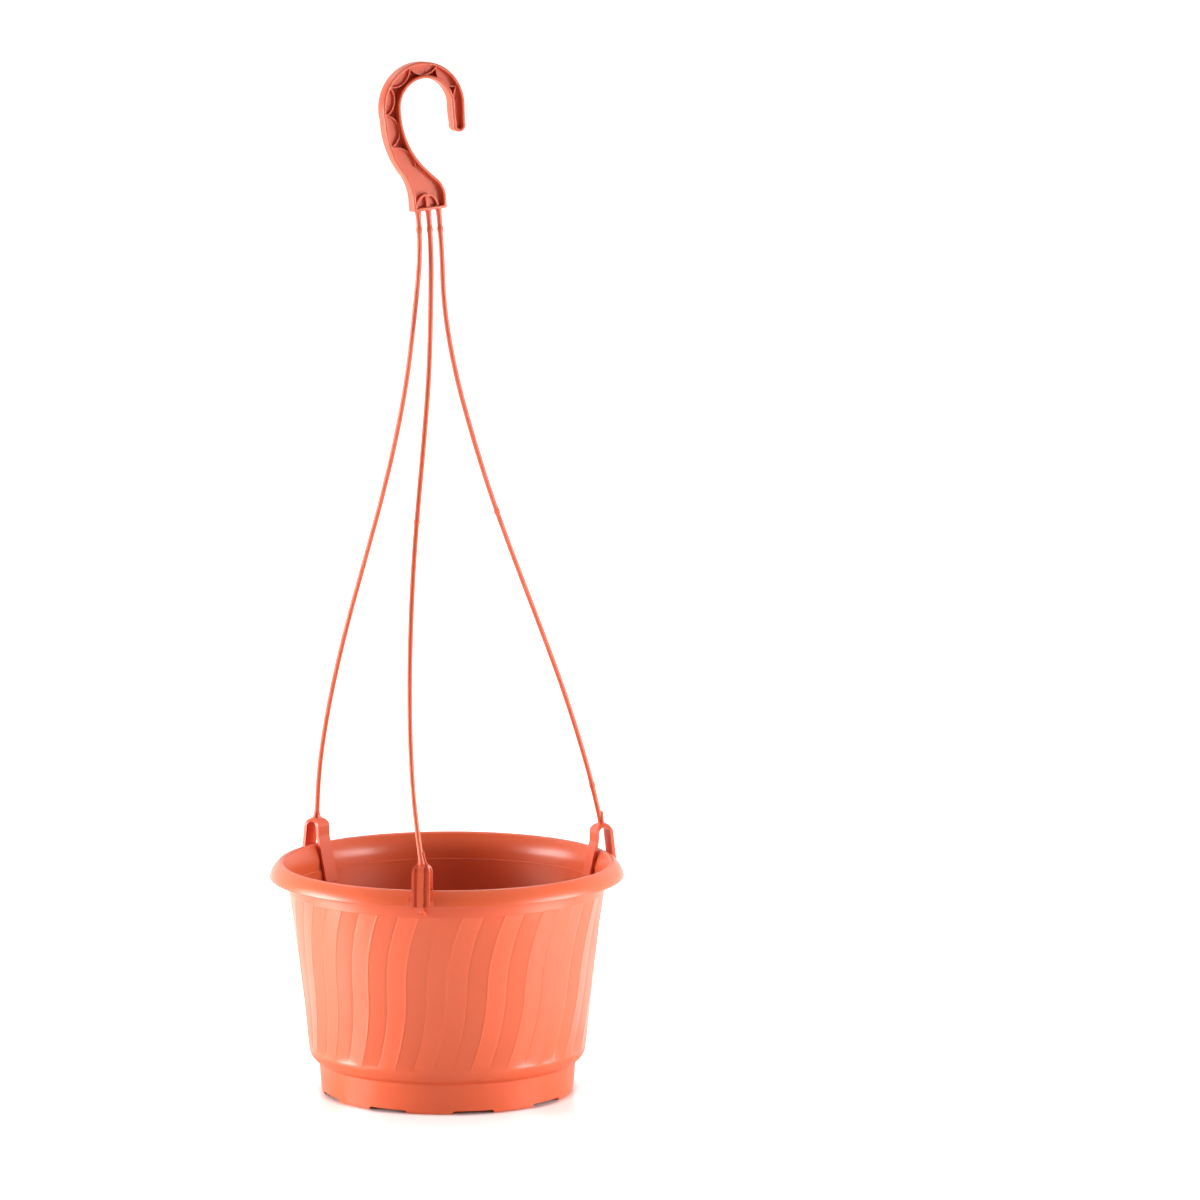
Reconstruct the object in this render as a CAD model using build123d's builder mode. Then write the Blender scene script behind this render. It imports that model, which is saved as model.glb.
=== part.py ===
"""Hanging basket: fluted plant pot, lift-out water reservoir, and a moulded hanger
whose three strands run from a hook to clips that snap over the pot's rim.

Frame: origin at the middle of the pot's foot, +Z up, front clip towards -Y.  Millimetres.
"""

import os
from math import cos, pi, radians, sin, sqrt

from build123d import *

# ---- driving dimensions ----------------------------------------------------
# pot
foot_radius = 88.9
foot_top_radius = 90.8
foot_top = 21.6
shoulder_radius = 97.9
shoulder_height = 32.3
body_top_radius = 111.1
body_top = 144.0
flute_count = 23
flute_depth = 0.9
flute_lean = 6.0
flute_phase = -82.0
wall = 2.0
floor_bottom = 2.4
floor_top = 4.0
collar_radius = 111.8
collar_bottom = 143.0
stacking_step = 145.0
lip_radius = 125.0
rim_top = 163.5
foot_notches = 9
foot_notch_height = 2.0

# water reservoir
reservoir_floor = 4.2
reservoir_flange = 95.5
deck_radius = 74.0
recess_radius = 29.4
wick_slots = 6
wick_windows = 3

# clips, set around the rim
clip_angles = {"front": -90.0, "right": 30.0, "left": 150.0}
clip_radius = 118.4
clip_width = 12.6
strap = 2.4
arch_height = 175.4
arch_outer = 6.6
arch_inner = arch_outer - strap
inner_leg_lean = 13.0
latch_lean = 7.0
latch_length = 26.6

# hook
hook_position = (-11.4, -1.7)
hook_base = 623.0
hook_turn = 35.0
hook_tilt = 5.6
hook_depth = 9.0
hook_wall = 2.0
hook_floor = 2.0
bend_centre = (2.2, 71.5)
bend_radius = 31.4
mouth_centre = (4.0, 71.5)
mouth_radius = 19.9

# strands: height, share of the way out from the hook to the clip, and sideways bow
strand_radius = 1.8
strand_spacing = 8.0
strand_straight = 25.0
strand_routes = {
    "front": [
        (555, 0.030, 1.8), (510, 0.095, 0.9), (465, 0.205, -2.1), (420, 0.345, -5.8),
        (375, 0.515, -8.6), (328, 0.690, -9.7), (282, 0.835, -9.3), (242, 0.935, -7.4),
        (209, 0.985, -4.0),
    ],
    "left": [
        (552, 0.032, 0.0), (505, 0.105, 0.0), (462, 0.212, 0.0), (418, 0.352, 0.0),
        (372, 0.520, 0.0), (326, 0.690, 0.0), (280, 0.835, 0.0), (240, 0.935, 0.0),
        (207, 0.988, 0.0),
    ],
    "right": [
        (555, 0.030, 0.0), (510, 0.095, 0.0), (466, 0.196, 0.0), (420, 0.318, 0.0),
        (372, 0.468, 0.0), (325, 0.622, 0.0), (280, 0.763, 0.0), (240, 0.872, 0.0),
        (208, 0.948, 0.0),
    ],
}

os.makedirs("parts", exist_ok=True)


def around(angle, radius=1.0, height=0.0):
    """Point at a polar angle about the pot's axis."""
    return (radius * cos(radians(angle)), radius * sin(radians(angle)), height)


def radial_plane(angle, side=0.0):
    """Upright plane through the axis: local x outward, local y up."""
    out = Vector(*around(angle))
    across = Vector(*around(angle - 90))
    return Plane(origin=across * side, x_dir=out, z_dir=across)


def save(piece, name):
    piece.part.label = name
    export_step(piece.part, f"parts/{name}.step")


# ---- pot ---------------------------------------------------------------------
def flute_ring(share):
    """Zigzag outline of the body at a share of its height; the flutes lean in an S."""
    swing = 2 * share - 1
    lean = flute_lean * swing * abs(swing)
    ridge = shoulder_radius + (body_top_radius - shoulder_radius) * share
    pitch = 360 / flute_count
    points = []
    for flute in range(flute_count):
        angle = flute_phase + lean + pitch * flute
        points.append(around(angle, ridge)[:2])
        points.append(around(angle + pitch / 2, ridge - flute_depth)[:2])
    return points


shoulder_bend = 11.75
shoulder_centre = shoulder_radius - shoulder_bend
shoulder_inner_bend = shoulder_bend - wall
foot_inner = foot_radius - 1.6
foot_inner_top = foot_top_radius - 1.6
inner_bend_start = shoulder_height - sqrt(
    shoulder_inner_bend**2 - (foot_inner_top - shoulder_centre) ** 2
)
bend_middle = sin(radians(45))

with BuildPart() as pot:
    # fluted body
    for share in (0.0, 0.12, 0.26, 0.42, 0.58, 0.74, 0.88, 1.0):
        height = shoulder_height + (body_top - shoulder_height) * share
        with BuildSketch(Plane.XY.offset(height)):
            Polygon(*flute_ring(share), align=None)
    loft(ruled=True)

    # foot and rounded shoulder under the body
    with BuildSketch(Plane.XZ):
        with BuildLine():
            Polyline((0, shoulder_height), (0, 0), (foot_radius, 0), (foot_top_radius, foot_top))
            ThreePointArc(
                (foot_top_radius, foot_top),
                (
                    shoulder_centre + shoulder_bend * sin(radians(58)),
                    shoulder_height - shoulder_bend * cos(radians(58)),
                ),
                (shoulder_radius, shoulder_height),
            )
            Line((shoulder_radius, shoulder_height), (0, shoulder_height))
        make_face()
    revolve(axis=Axis.Z)

    # collar and rolled rim, open underneath
    with BuildSketch(Plane.XZ):
        with BuildLine():
            Polyline((collar_radius - 1.6, stacking_step), (collar_radius - 1.4, 150))
            ThreePointArc((collar_radius - 1.4, 150), (111.8, 156.2), (114.4, 161.2))
            ThreePointArc((114.4, 161.2), (116.9, rim_top), (119.6, 162.3))
            ThreePointArc((119.6, 162.3), (123.0, 158.2), (lip_radius, 153.2))
            ThreePointArc((lip_radius, 153.2), (124.2, 152.4), (123.4, 153.2))
            ThreePointArc((123.4, 153.2), (121.5, 157.5), (118.6, 161.0))
            ThreePointArc((118.6, 161.0), (116.9, 161.8), (115.8, 160.4))
            ThreePointArc((115.8, 160.4), (113.3, 155.6), (112.0, 150))
            Polyline(
                (112.0, 150),
                (collar_radius, collar_bottom),
                (108, collar_bottom),
                (108, stacking_step),
                (collar_radius - 1.6, stacking_step),
            )
        make_face()
    revolve(axis=Axis.Z)

    # inside, up to just above the stacking step
    with BuildSketch(Plane.XZ):
        with BuildLine():
            Polyline(
                (0, floor_top), (foot_inner - 1, floor_top), (foot_inner + 0.2, floor_top + 1.2),
                (foot_inner_top, inner_bend_start),
            )
            ThreePointArc(
                (foot_inner_top, inner_bend_start),
                (
                    shoulder_centre + shoulder_inner_bend * bend_middle,
                    shoulder_height - shoulder_inner_bend * bend_middle,
                ),
                (shoulder_centre + shoulder_inner_bend, shoulder_height),
            )
            Polyline(
                (shoulder_centre + shoulder_inner_bend, shoulder_height),
                (body_top_radius - wall - 0.1, collar_bottom),
                (body_top_radius - wall - 0.1, 150),
                (0, 150),
                (0, floor_top),
            )
        make_face()
    revolve(axis=Axis.Z, mode=Mode.SUBTRACT)

    # hollow under the floor, air notches in the foot, cut-backs in the lip for the clips
    with BuildSketch(Plane.XY):
        Circle(foot_inner - 0.4)
    extrude(amount=floor_bottom, mode=Mode.SUBTRACT)
    with PolarLocations(foot_radius, foot_notches, start_angle=clip_angles["front"] + 20):
        Box(12, 29, 2 * foot_notch_height, mode=Mode.SUBTRACT)
    with PolarLocations(clip_radius + 9.5, 3, start_angle=clip_angles["front"]):
        with Locations((0, 0, 154)):
            Box(12, 18, 12, mode=Mode.SUBTRACT)
save(pot, "pot")

# ---- water reservoir: a shell with a raised deck, a moat and a flange ---------------
with BuildPart() as reservoir:
    base = reservoir_floor
    with BuildSketch(Plane.XZ):
        with BuildLine():
            Polyline(
                (0, base + 26.2),
                (recess_radius, base + 26.2),
                (recess_radius + 1, base + 29.2),
                (deck_radius - 1.4, base + 29.2),
            )
            ThreePointArc(
                (deck_radius - 1.4, base + 29.2),
                (deck_radius - 0.35, base + 28.8),
                (deck_radius + 0.1, base + 27.8),
            )
            Polyline(
                (deck_radius + 0.1, base + 27.8),
                (deck_radius + 2.0, base + 1.5),
                (79.6, base + 1.5),
            )
            ThreePointArc((79.6, base + 1.5), (81.4, base + 2.1), (82.2, base + 4.0))
            Polyline((82.2, base + 4.0), (86.6, base + 25.0))
            ThreePointArc((86.6, base + 25.0), (87.6, base + 27.2), (89.6, base + 28.0))
            Polyline(
                (89.6, base + 28.0),
                (reservoir_flange, base + 28.0),
                (reservoir_flange, base + 26.5),
                (90.2, base + 26.5),
            )
            ThreePointArc((90.2, base + 26.5), (88.7, base + 26.0), (88.1, base + 24.7))
            Polyline((88.1, base + 24.7), (83.6, base + 3.6))
            ThreePointArc((83.6, base + 3.6), (82.2, base + 1.0), (79.6, base))
            Polyline(
                (79.6, base),
                (deck_radius + 0.5, base),
                (deck_radius - 1.6, base + 27.7),
                (recess_radius + 2.2, base + 27.7),
                (recess_radius + 1.2, base + 24.7),
                (0, base + 24.7),
                (0, base + 26.2),
            )
        make_face()
    revolve(axis=Axis.Z)

    # moulding point in the middle of the recess
    with Locations((0, 0, base + 26.6)):
        Cylinder(1.6, 1.4)
    # wick slots through the deck, marks in the flange
    with PolarLocations(65, wick_slots, start_angle=-17):
        with Locations((0, 0, base + 28)):
            Box(8, 1.5, 6, mode=Mode.SUBTRACT)
    with PolarLocations(reservoir_flange, 6, start_angle=13):
        with Locations((0, 0, base + 28)):
            Box(2.4, 3.0, 1.4, mode=Mode.SUBTRACT)
    # stiffening web across the moat
    with PolarLocations(80.8, 1, start_angle=180):
        with Locations((0, 0, base + 12.6)):
            Box(8.4, 1.2, 22.8)
    # wick windows in the outer wall
    for window in range(wick_windows):
        side = Plane(
            origin=around(-72 + 120 * window, 79.9, base),
            x_dir=around(18 + 120 * window),
            z_dir=around(-72 + 120 * window),
        )
        with BuildSketch(side):
            Polygon((-6.2, 0), (6.2, 0), (2.75, 17), (-2.75, 17), align=None)
        extrude(amount=12, mode=Mode.SUBTRACT)
save(reservoir, "reservoir_insert")


# ---- clips -----------------------------------------------------------------------
pivot = (clip_radius + (arch_outer + arch_inner) / 2, arch_height)
knuckle = strap / 2
leg_top = 169.0
leg_bottom = 137.0
leg_strap = 2.0
leg_shift = (leg_top - leg_bottom) * sin(radians(inner_leg_lean)) / cos(radians(inner_leg_lean))
leg_face = clip_radius - arch_outer


def on_latch(down, out):
    """Point on the latch leg, measured from its pivot along the leg and outward."""
    along = (sin(radians(latch_lean)), -cos(radians(latch_lean)))
    outward = (cos(radians(latch_lean)), sin(radians(latch_lean)))
    return (
        pivot[0] + down * along[0] + out * outward[0],
        pivot[1] + down * along[1] + out * outward[1],
    )


def latch_bar(down_from, down_to, inner, outer):
    """Outline of a bar that runs down the latch leg."""
    corners = (
        on_latch(down_from, inner),
        on_latch(down_to, inner),
        on_latch(down_to, outer),
        on_latch(down_from, outer),
    )
    return Polygon(*corners, align=None)


for side, angle in clip_angles.items():
    plane = radial_plane(angle)

    # arch over the rim with its wide inner leg
    with BuildPart() as clip:
        with BuildSketch(plane):
            with BuildLine():
                Polyline(
                    (clip_radius - arch_inner, arch_height),
                    (leg_face + leg_strap, leg_top),
                    (leg_face + leg_strap - leg_shift, leg_bottom),
                )
                ThreePointArc(
                    (leg_face + leg_strap - leg_shift, leg_bottom),
                    (leg_face + leg_strap / 2 - leg_shift, leg_bottom - leg_strap / 2),
                    (leg_face - leg_shift, leg_bottom),
                )
                Polyline(
                    (leg_face - leg_shift, leg_bottom),
                    (leg_face, leg_top),
                    (leg_face, arch_height),
                )
                ThreePointArc(
                    (leg_face, arch_height),
                    (clip_radius, arch_height + arch_outer),
                    (clip_radius + arch_outer, arch_height),
                )
                Line(
                    (clip_radius + arch_outer, arch_height),
                    (clip_radius + arch_inner, arch_height),
                )
                ThreePointArc(
                    (clip_radius + arch_inner, arch_height),
                    (clip_radius, arch_height + arch_inner),
                    (clip_radius - arch_inner, arch_height),
                )
            make_face()
            # socket for the latch leg's rounded top
            with Locations(pivot):
                Circle(knuckle + 0.3, mode=Mode.SUBTRACT)
        extrude(amount=clip_width / 2, both=True)
    save(clip, f"clip_{side}")

    # outer leg that springs outward: web, two rails, and a rib that ends in the toe
    with BuildPart() as latch:
        with BuildSketch(plane):
            with Locations(pivot):
                Circle(knuckle)
        extrude(amount=clip_width / 2, both=True)
        with BuildSketch(plane):
            latch_bar(0, latch_length, -knuckle, 0)
        extrude(amount=clip_width / 2 - 0.2, both=True)
        for offset_side in (-1, 1):
            rail_middle = offset_side * (clip_width / 2 - 1.1)
            with BuildSketch(radial_plane(angle, rail_middle)):
                latch_bar(0, latch_length, -knuckle, knuckle)
            extrude(amount=1.1, both=True)
        with BuildSketch(plane):
            with BuildLine():
                rib_foot = on_latch(latch_length - 1.4, knuckle + 0.8)
                rib_heel = on_latch(latch_length - 1.4, -knuckle)
                Polyline(rib_heel, on_latch(0, -knuckle), on_latch(0, knuckle + 0.8), rib_foot)
                ThreePointArc(rib_foot, (127.4, 145.9), (124.4, 144.2))
                Polyline((124.4, 144.2), (113.4, 141.9))
                ThreePointArc((113.4, 141.9), (112.7, 142.9), (113.5, 143.9))
                Polyline((113.5, 143.9), (122.6, 146.2))
                ThreePointArc((122.6, 146.2), (124.6, 147.6), rib_heel)
            make_face()
        extrude(amount=1.75, both=True)
    save(latch, f"latch_{side}")

# ---- hook: an open-fronted channel ---------------------------------------------------
hook_upright = Plane(
    origin=(hook_position[0], hook_position[1], hook_base),
    x_dir=around(hook_turn),
    z_dir=around(hook_turn - 90),
)
hook_plane = Plane(hook_upright.location * Location((0, 0, 0), (0, 0, hook_tilt)))


def on_bend(angle, radius):
    """Point about the middle of the hook's outer bend."""
    return (
        bend_centre[0] + radius * cos(radians(angle)),
        bend_centre[1] + radius * sin(radians(angle)),
    )


hook_half = 12.65
with BuildSketch() as outline:
    with BuildLine():
        Polyline((-hook_half, 0), (-hook_half, 7.5))
        ThreePointArc((-hook_half, 7.5), (-13.6, 16.8), (-17.0, 25.4))
        ThreePointArc((-17.0, 25.4), (-25.9, 43.0), (-28.9, 65.5))
        ThreePointArc((-28.9, 65.5), on_bend(135, bend_radius), on_bend(90, bend_radius))
        ThreePointArc(on_bend(90, bend_radius), on_bend(45, bend_radius), on_bend(0, bend_radius))
        Polyline(on_bend(0, bend_radius), (32.6, 57.0))
        ThreePointArc((32.6, 57.0), (28.2, 51.0), (24.0, 57.2))
        ThreePointArc((24.0, 57.2), (23.6, 65.5), (mouth_centre[0] + mouth_radius, mouth_centre[1]))
        ThreePointArc(
            (mouth_centre[0] + mouth_radius, mouth_centre[1]),
            (mouth_centre[0], mouth_centre[1] + mouth_radius),
            (mouth_centre[0] - mouth_radius, mouth_centre[1]),
        )
        ThreePointArc((mouth_centre[0] - mouth_radius, mouth_centre[1]), (-12.8, 49.2), (-3.0, 31.6))
        ThreePointArc((-3.0, 31.6), (2.2, 26.0), (8.0, 20.2))
        ThreePointArc((8.0, 20.2), (11.8, 13.6), (hook_half, 6.0))
        Polyline((hook_half, 6.0), (hook_half, 0), (-hook_half, 0))
    make_face()

with BuildSketch() as channel:
    add(outline.sketch)
    offset(amount=-hook_wall, mode=Mode.REPLACE)

# scalloped cells: discs that bulge inward between cusps on the outer wall, then the round
# ends of the root and of the tip, whose floors are level with the cells
cusp_first = 23.0
cusp_step = 40.7
cell_reach = 21.9
cell_bulge = 12.8
rib = 0.9
discs = [
    (on_bend(cusp_first + cusp_step * (cell + 0.5), cell_reach + cell_bulge), cell_bulge)
    for cell in range(4)
]
discs.append(((-29.4, 57.5), 12.4))
discs.append(((-22.8, 30.75), 15.7))
discs.append(((46.15, 72.0), 20.5))

with BuildSketch() as cell_discs:
    for centre, radius in discs:
        with Locations(centre):
            Circle(radius)
with BuildSketch() as level_ends:
    with Locations((-10, 13)):
        Rectangle(60, 36)
    with Locations((30, 54)):
        Rectangle(20, 29)
with BuildSketch() as cell_ribs:
    add(cell_discs.sketch)
    for centre, radius in discs:
        with Locations(centre):
            Circle(radius - rib, mode=Mode.SUBTRACT)
    add(level_ends.sketch, mode=Mode.SUBTRACT)
    add(channel.sketch, mode=Mode.INTERSECT)
with BuildSketch() as pockets:
    add(channel.sketch)
    add(cell_discs.sketch, mode=Mode.SUBTRACT)
    add(level_ends.sketch, mode=Mode.SUBTRACT)

with BuildPart() as hook:
    with BuildSketch(hook_plane.offset(-hook_depth / 2)):
        add(outline.sketch)
    extrude(amount=hook_depth)
    # front recess down to the cell floors, then the deeper pockets at the inner edge
    with BuildSketch(hook_plane.offset(hook_depth / 2)):
        add(channel.sketch)
    extrude(amount=-4.2, mode=Mode.SUBTRACT)
    with BuildSketch(hook_plane.offset(hook_depth / 2)):
        add(pockets.sketch)
    extrude(amount=-(hook_depth - hook_floor), mode=Mode.SUBTRACT)
    with BuildSketch(hook_plane):
        add(cell_ribs.sketch)
    extrude(amount=2.4)
    # half-round rib with two quarter windows where the strands join
    with BuildSketch(hook_plane):
        with BuildLine():
            Line((-10.1, hook_wall), (7.1, hook_wall))
            ThreePointArc((7.1, hook_wall), (-1.5, hook_wall + 9.4), (-10.1, hook_wall))
        make_face()
        for outer, inner, middle in ((-8.8, -2.5, -6.9), (5.8, 0.5, 4.1)):
            with BuildLine():
                Polyline((outer, hook_wall + 0.4), (inner, hook_wall + 0.4), (inner, hook_wall + 7.8))
                ThreePointArc(
                    (inner, hook_wall + 7.8), (middle, hook_wall + 5.3), (outer, hook_wall + 0.4),
                )
            make_face(mode=Mode.SUBTRACT)
    extrude(amount=3.2)
save(hook, "hook")

# ---- strands: round arms from the hook's base to the tops of the clips ----------------
smallest_bend = 1e9
for place, side in enumerate(("left", "front", "right")):
    start = hook_plane.from_local_coords(Vector((place - 1) * strand_spacing, 0, 0))
    below = hook_plane.from_local_coords(Vector((place - 1) * strand_spacing, -strand_straight, 0))
    angle = clip_angles[side]
    end = Vector(*around(angle, clip_radius, arch_height + arch_outer - 0.8))
    across = Vector(*around(angle + 90))
    points = [start, below]
    for height, share, bow in strand_routes[side]:
        flat = start + (end - start) * share + across * bow
        points.append(Vector(flat.X, flat.Y, height))
    points.append(end)

    runs = [(points[i + 1] - points[i]).length for i in range(len(points) - 1)]
    radii = []
    for corner in range(1, len(points) - 1):
        turn = (points[corner] - points[corner - 1]).get_angle(points[corner + 1] - points[corner])
        shorter = min(runs[corner - 1], runs[corner])
        radii.append(0.45 * shorter * cos(radians(turn / 2)) / sin(radians(turn / 2)))
    smallest_bend = min(smallest_bend, min(radii))

    with BuildPart() as strand:
        with BuildLine():
            route = FilletPolyline(*points, radius=radii)
        with BuildSketch(Plane(origin=start, z_dir=below - start)):
            Circle(strand_radius)
        sweep(path=route)
        sweep_volume = strand.part.volume
        # the end is cut to sit on the round top of the clip
        with BuildSketch(radial_plane(angle)):
            with Locations((clip_radius, arch_height)):
                Circle(arch_outer)
        extrude(amount=clip_width / 2, both=True, mode=Mode.SUBTRACT)
    tube_volume = pi * strand_radius**2 * route.length
    print(f"strand_{side}: length {route.length:.1f}, straight distance {(end - start).length:.1f}")
    print(f"  swept volume over section times length {sweep_volume / tube_volume:.4f}")
    save(strand, f"strand_{side}")
print(f"smallest strand bend radius {smallest_bend:.1f}")
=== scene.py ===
from math import atan2, cos, hypot, pi, radians, sin

import bmesh
import bpy
from mathutils import Matrix, Vector


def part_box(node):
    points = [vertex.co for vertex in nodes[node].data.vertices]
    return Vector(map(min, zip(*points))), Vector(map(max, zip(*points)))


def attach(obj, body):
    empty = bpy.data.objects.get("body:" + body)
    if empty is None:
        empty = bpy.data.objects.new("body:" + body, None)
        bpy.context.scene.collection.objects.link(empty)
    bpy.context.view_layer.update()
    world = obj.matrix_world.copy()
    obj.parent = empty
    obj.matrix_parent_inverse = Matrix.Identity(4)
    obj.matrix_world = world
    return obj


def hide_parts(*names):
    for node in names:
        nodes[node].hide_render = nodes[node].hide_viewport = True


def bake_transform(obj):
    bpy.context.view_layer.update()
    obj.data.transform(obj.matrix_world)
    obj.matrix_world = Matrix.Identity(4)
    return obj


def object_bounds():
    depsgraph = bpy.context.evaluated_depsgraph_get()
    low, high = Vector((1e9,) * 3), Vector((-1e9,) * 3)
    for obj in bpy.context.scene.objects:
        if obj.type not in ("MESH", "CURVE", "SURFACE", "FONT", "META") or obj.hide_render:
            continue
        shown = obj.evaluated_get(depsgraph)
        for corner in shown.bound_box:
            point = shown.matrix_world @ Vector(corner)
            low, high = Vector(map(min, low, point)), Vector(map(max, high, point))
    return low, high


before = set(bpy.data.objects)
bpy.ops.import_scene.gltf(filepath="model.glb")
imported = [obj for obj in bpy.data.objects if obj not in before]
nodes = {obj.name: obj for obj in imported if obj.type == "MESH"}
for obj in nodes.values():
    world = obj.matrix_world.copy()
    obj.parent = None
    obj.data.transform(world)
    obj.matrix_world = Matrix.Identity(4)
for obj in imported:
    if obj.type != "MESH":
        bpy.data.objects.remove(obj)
cad_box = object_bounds()
scene = bpy.context.scene

# ---- studio -------------------------------------------------------------------------
# A long lens looks a little down at the basket, which stands on a white glossy sweep.
# Two low soft boxes light its sides and small high ones its rim; the camera's side is dim.
lip_radius = 125.0
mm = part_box("pot")[1].x / lip_radius

camera_round = 8.3
camera_away = 4.60
camera_height = 0.995
camera_tilt = 8.0
camera_swing = 1.345

camera_data = bpy.data.cameras.new("camera")
camera_data.lens = 198.7
camera_data.sensor_width = 36
camera_data.clip_end = 50
camera = bpy.data.objects.new("camera", camera_data)
camera.location = (
    camera_away * sin(radians(camera_round)),
    -camera_away * cos(radians(camera_round)),
    camera_height,
)
camera.rotation_euler = (radians(90 - camera_tilt), 0, radians(camera_round - camera_swing))
scene.collection.objects.link(camera)
scene.camera = camera
scene.view_settings.view_transform = "Standard"


def soft_box(name, place, aim, width, height, power, spread=180):
    """A rectangular studio light at a place, turned towards its aim."""
    data = bpy.data.lights.new(name, "AREA")
    data.shape = "RECTANGLE"
    data.size, data.size_y = width, height
    data.energy = power
    data.spread = radians(spread)
    light = bpy.data.objects.new(name, data)
    light.location = place
    light.rotation_euler = (Vector(aim) - Vector(place)).to_track_quat("-Z", "Y").to_euler()
    scene.collection.objects.link(light)


soft_box("left_box", (-1.5, -0.35, 0.25), (0, 0, 0.1), 0.9, 0.8, 13, spread=90)
soft_box("right_box", (1.5, -0.2, 0.25), (0, 0, 0.1), 0.9, 0.8, 9, spread=90)
soft_box("left_high_box", (-0.95, 0.6, 1.75), (0, 0, 0.2), 0.35, 0.5, 4)
soft_box("right_high_box", (0.35, 0.9, 1.9), (0, 0, 0.2), 0.5, 0.3, 3)
soft_box("top_box", (0.1, 0.5, 2.3), (0, 0, 0.2), 1.6, 1.0, 5)
soft_box("front_box", (0.9, -4.6, 1.5), (0, 0, 0.3), 1.6, 1.6, 3)

world = bpy.data.worlds.new("white_sweep")
scene.world = world
world.use_nodes = True
world_nodes = world.node_tree.nodes
world_links = world.node_tree.links
background = world_nodes["Background"]
light_path = world_nodes.new("ShaderNodeLightPath")
direction = world_nodes.new("ShaderNodeTexCoord")
split = world_nodes.new("ShaderNodeSeparateXYZ")
behind_camera = world_nodes.new("ShaderNodeMapRange")
behind_camera.inputs["From Min"].default_value = -0.8
behind_camera.inputs["From Max"].default_value = 0.3
behind_camera.inputs["To Min"].default_value = 0.12
behind_camera.inputs["To Max"].default_value = 0.7
seen = world_nodes.new("ShaderNodeMath")
seen.operation = "MAXIMUM"
world_links.new(direction.outputs["Generated"], split.inputs[0])
world_links.new(split.outputs["Y"], behind_camera.inputs["Value"])
world_links.new(behind_camera.outputs["Result"], seen.inputs[0])
world_links.new(light_path.outputs["Is Camera Ray"], seen.inputs[1])
world_links.new(seen.outputs[0], background.inputs["Strength"])
background.inputs["Color"].default_value = (1, 1, 1, 1)

sweep_front = -5.5
sweep_half = 8.0
sweep_back = 3.0
sweep_bend = 2.0
sweep_rise = 6.0
sweep_line = [(sweep_front, 0)] + [
    (sweep_back + sweep_bend * sin(radians(a)), sweep_bend * (1 - cos(radians(a))))
    for a in range(0, 91, 6)
] + [(sweep_back + sweep_bend, sweep_rise)]
sweep_points = [(x, y, z) for y, z in sweep_line for x in (-sweep_half, sweep_half)]
sweep_faces = [(2 * i, 2 * i + 1, 2 * i + 3, 2 * i + 2) for i in range(len(sweep_line) - 1)]
sweep_mesh = bpy.data.meshes.new("sweep")
sweep_mesh.from_pydata(sweep_points, [], sweep_faces)
for face in sweep_mesh.polygons:
    face.use_smooth = True
sweep = bpy.data.objects.new("sweep", sweep_mesh)
sweep_gap = 0.0002
sweep.location.z = cad_box[0].z - sweep_gap
scene.collection.objects.link(sweep)
sweep_material = bpy.data.materials.new("white_acrylic")
sweep_material.use_nodes = True
sweep_shader = sweep_material.node_tree.nodes["Principled BSDF"]
sweep_shader.inputs["Base Color"].default_value = (0.86, 0.86, 0.86, 1)
sweep_shader.inputs["Roughness"].default_value = 0.12
sweep_shader.inputs["Emission Color"].default_value = (1, 1, 1, 1)
# the sweep glows: the camera sees it burn out to white just outside the foot, and the glow fading to
# nothing at the foot is a painted contact shadow round it and in its notches; the light it gives the
# basket starts a little further off, and glossy rays see it glow brighter, which paints a pale sheen on
# the basket's flanks
sweep_nodes = sweep_material.node_tree.nodes
sweep_links = sweep_material.node_tree.links
sweep_path = sweep_nodes.new("ShaderNodeLightPath")
sweep_place = sweep_nodes.new("ShaderNodeNewGeometry")
from_basket = sweep_nodes.new("ShaderNodeVectorMath")
from_basket.operation = "LENGTH"
sweep_links.new(sweep_place.outputs["Position"], from_basket.inputs[0])


def glow(near, far, strength):
    """Light given off, rising from nothing at the near distance from the basket's middle."""
    rise = sweep_nodes.new("ShaderNodeMapRange")
    rise.interpolation_type = "SMOOTHSTEP"
    rise.inputs["From Min"].default_value = near
    rise.inputs["From Max"].default_value = far
    rise.inputs["To Max"].default_value = strength
    sweep_links.new(from_basket.outputs["Value"], rise.inputs["Value"])
    return rise.outputs["Result"]


# for the camera: no glow under the pot and a quick rise just past the foot, a painted contact shadow
# and dark notches, then burning out to white
burn_out = sweep_nodes.new("ShaderNodeMath")
burn_out.operation = "ADD"
sweep_links.new(glow(0.0885, 0.097, 0.38), burn_out.inputs[0])
sweep_links.new(glow(0.09, 0.24, 0.5), burn_out.inputs[1])
shown = sweep_nodes.new("ShaderNodeMix")
sweep_links.new(sweep_path.outputs["Is Camera Ray"], shown.inputs["Factor"])
# glossy rays see a strong glow, a painted reflection that whitens the basket's flanks; other rays see a
# weak glow that lights it from below
mirrored = sweep_nodes.new("ShaderNodeMath")
mirrored.operation = "MULTIPLY_ADD"
sweep_links.new(sweep_path.outputs["Is Glossy Ray"], mirrored.inputs[0])
sweep_links.new(glow(0.1, 0.3, 0.8), mirrored.inputs[1])
sweep_links.new(glow(0.1, 0.35, 0.22), mirrored.inputs[2])
sweep_links.new(mirrored.outputs[0], shown.inputs["A"])
sweep_links.new(burn_out.outputs[0], shown.inputs["B"])
sweep_links.new(shown.outputs["Result"], sweep_shader.inputs["Emission Strength"])
sweep_mesh.materials.append(sweep_material)

# ---- plastics -------------------------------------------------------------------------
# Everything is injection-moulded polypropylene. The shared effect is its skin: a fine
# orange peel, faint cloudy flow of the pigment, and patches polished by handling.


def add_maths(tree, operation, *values):
    """A Math node on sockets or numbers; returns its output."""
    node = tree.nodes.new("ShaderNodeMath")
    node.operation = operation
    for place, value in enumerate(values):
        if isinstance(value, (int, float)):
            node.inputs[place].default_value = value
        else:
            tree.links.new(value, node.inputs[place])
    return node.outputs[0]


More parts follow.
